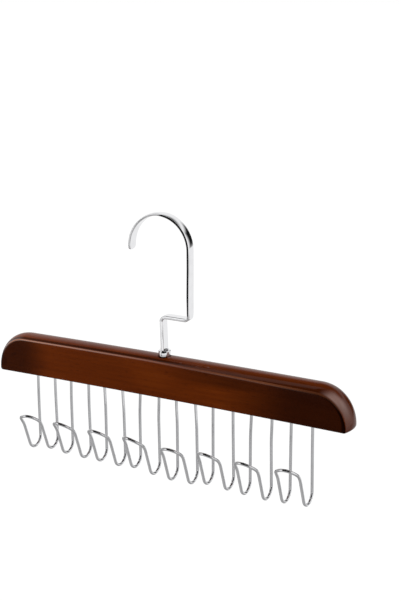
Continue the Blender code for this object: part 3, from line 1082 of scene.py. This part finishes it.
# The studio as gloss shows it. Turns are in degrees and heights are the z of a direction: a pair is where a smooth
# change starts and ends, and a third number softens both borders. A light's bare name gives its level.
worldLook = {
    "forward": (-0.5, 0.866),
    "backdrop": 0.92,
    "backdropTurn": (-58, 84, 4),
    "backdropFoot": (-0.16, -0.06),
    "backdropTop": (0.56, 0.84),
    "gapTurn": (33, 76, 9),
    "gapZ": (-0.12, 0.44, 0.12),
    "softbox": 1.05,
    "softboxTurn": 127,
    "softboxSlant": 35,
    "softboxStart": (-2, 3),
    "softboxEnd": (-98, -84),
    "softboxZ": (-0.12, 0.77, 0.05),
    "leftWall": 0.42,
    "leftWallTurn": (-98, -62, 6),
    "leftWallFoot": (-0.28, -0.24),
    "window": 1.0,
    "windowStart": (62, 84),
    "windowEnd": (136, 152),
    "windowFoot": (-0.28, -0.22),
    "windowTop": (0.60, 0.80),
    "skylight": 0.35,
    "skylightSide": (0.05, 0.32),
    "skylightFoot": (0.82, 0.91),
    "table": 0.40,
    "tableMiddle": 0.15,
    "tableMiddleZ": (-0.44, -0.345),
    "tableFar": 0.30,
    "tableFarZ": (-0.345, -0.30),
    "tableBehind": 0.06,
    "tableNear": 0.32,
    "tableNearTurn": (-128, -100, 6),
    "tableNearZ": (-0.47, -0.41),
    "tableEdgeZ": -0.288,
    "tableEdgeSoft": (-0.006, 0.006),
    "tableEdgeRise": 0.018,
    "tableEdgeTurns": ((-126, -122), (-119.4, -118.6), (95, 115)),
    "darkCardTurn": (-130.5, -107.5, 1.5),
    "darkCardSlant": 0.0033,
    "darkCardZ": (0.033, 0.079, 0.002),
    "darkest": 0.008,
    "soft": 0.92,
    "softLeast": 0.10,
    "softZ": (-0.3, 0.95),
}

# Plain cards of light: the turn and the height that each spans, and its level.
lightCards = (
    ((-14, 84, 4), (-0.62, -0.11, 0.04), 0.90),  # pale sweep under the backdrop
    ((-105, -84, 3), (-0.33, -0.235, 0.02), 0.85),  # low card at the left
    ((-118.1, -88, 0.4), (-0.255, -0.12, 0.02), 0.85),  # crisp card above it
)


def tableLevel(turn, z, back):
    # A table, brighter far off and in one patch nearby, with a narrow dark card before it. Its edge dips between
    # the first two turns and rises again past the third.
    look = worldLook
    level = z.fade(*look["tableFarZ"]) * look["tableFar"] + z.fade(*look["tableMiddleZ"]) * look["tableMiddle"]
    level = level + look["table"] - back * look["tableBehind"]
    near = turn.between(*look["tableNearTurn"]) * (1 - z.fade(*look["tableNearZ"]))
    level = level + near * look["tableNear"]
    first, second, third = look["tableEdgeTurns"]
    raised = turn.fade(*second) + (1 - turn.fade(*first)) + turn.fade(*third)
    edgeZ = raised * look["tableEdgeRise"] + look["tableEdgeZ"]
    card = turn.between(*look["darkCardTurn"]) * (z - turn * look["darkCardSlant"]).between(*look["darkCardZ"])
    return level * (1 - (z - edgeZ).fade(*look["tableEdgeSoft"])) * (1 - card)


def studioLevel(turn, z, right, back):
    # The brightest of the table and all the lights in each direction.
    look = worldLook
    gap = turn.between(*look["gapTurn"]) * z.between(*look["gapZ"])
    backdrop = turn.between(*look["backdropTurn"]) * z.fade(*look["backdropFoot"])
    backdrop = backdrop * (1 - z.fade(*look["backdropTop"])) * (1 - gap) * look["backdrop"]
    slanted = (turn + look["softboxTurn"] - z * z * look["softboxSlant"]).fade(*look["softboxStart"])
    softbox = slanted * (1 - turn.fade(*look["softboxEnd"])) * z.between(*look["softboxZ"]) * look["softbox"]
    leftWall = turn.between(*look["leftWallTurn"]) * z.fade(*look["leftWallFoot"]) * look["leftWall"]
    window = turn.fade(*look["windowStart"]) * (1 - turn.fade(*look["windowEnd"]))
    window = window * z.fade(*look["windowFoot"]) * (1 - z.fade(*look["windowTop"])) * look["window"]
    skylight = (right * 0.8 - back * 0.6).fade(*look["skylightSide"])
    skylight = skylight * z.fade(*look["skylightFoot"]) * look["skylight"]
    level = tableLevel(turn, z, back).larger(backdrop).larger(softbox).larger(leftWall).larger(window).larger(skylight)
    for turns, heights, strength in lightCards:
        level = level.larger(turn.between(*turns) * z.between(*heights) * strength)
    return level + look["darkest"]


def addWorld():
    # The camera sees plain white. Metal and lacquer see the studio, laid out by the turn about the vertical (0 is
    # straight behind the hanger, positive turns go right) and by the height z. Other rays get a soft light.
    world = bpy.data.worlds.new("studio")
    bpy.context.scene.world = world
    world.use_nodes = True
    tree = world.node_tree
    tree.nodes.clear()
    coordinates = tree.nodes.new("ShaderNodeTexCoord")
    aim = Value(tree, coordinates.outputs["Generated"])
    x, y, z = aim.part("X"), aim.part("Y"), aim.part("Z")
    forwardX, forwardY = worldLook["forward"]
    back = y * forwardY + x * forwardX
    right = x * forwardY - y * forwardX
    turn = back.maths("ARCTAN2", right, back) * math.degrees(1.0)
    level = studioLevel(turn, z, right, back)
    seen, gloss = raysOf(tree)
    soft = z.fade(*worldLook["softZ"]) * worldLook["soft"] + worldLook["softLeast"]
    strength = seen + (1 - seen) * (gloss * level + (1 - gloss) * soft)
    glow = aim.make("Background", {}, {"Color": (1.0, 1.0, 1.0), "Strength": strength})
    output = tree.nodes.new("ShaderNodeOutputWorld")
    tree.links.new(glow.socket, output.inputs["Surface"])


camera = {
    "azimuth": 30.052,
    "elevation": 15.593,
    "roll": -0.642,
    "distance": 1074.084,
    "targetX": 39.877,
    "targetZ": -72.598,
    "aside": 0.965,
    "focalPixels": 1224.812,
    "frameHeight": 601,
    "sensor": 36.0,
    "farthest": 50.0,
}


def addCamera():
    # The camera looks along the azimuth and down by the elevation, turned about its own axis by the roll.
    azimuth = math.radians(camera["azimuth"])
    elevation = math.radians(camera["elevation"])
    roll = math.radians(camera["roll"])
    flat = Vector((-math.sin(azimuth), math.cos(azimuth), 0.0))
    ahead = flat * math.cos(elevation) - Vector((0.0, 0.0, math.sin(elevation)))
    level = Vector((math.cos(azimuth), math.sin(azimuth), 0.0))
    upright = level.cross(ahead)
    right = level * math.cos(roll) + upright * math.sin(roll)
    up = upright * math.cos(roll) - level * math.sin(roll)
    target = Vector((camera["targetX"], 0.0, camera["targetZ"])) * mm
    data = bpy.data.cameras.new("camera")
    data.sensor_fit = "VERTICAL"
    data.sensor_height = camera["sensor"]
    data.lens = camera["focalPixels"] * camera["sensor"] / camera["frameHeight"]
    data.clip_end = camera["farthest"]
    view = addObject("camera", data)
    turned = Matrix((right, up, -ahead)).transposed().to_4x4()
    stand = target - ahead * camera["distance"] * mm + right * camera["aside"] * mm
    view.matrix_world = Matrix.Translation(stand) @ turned
    bpy.context.scene.camera = view


addFloor()
addWorld()
addKeyLamp()
addCamera()
bpy.context.scene.view_settings.view_transform = "Standard"
print("studio, lamp and camera set")
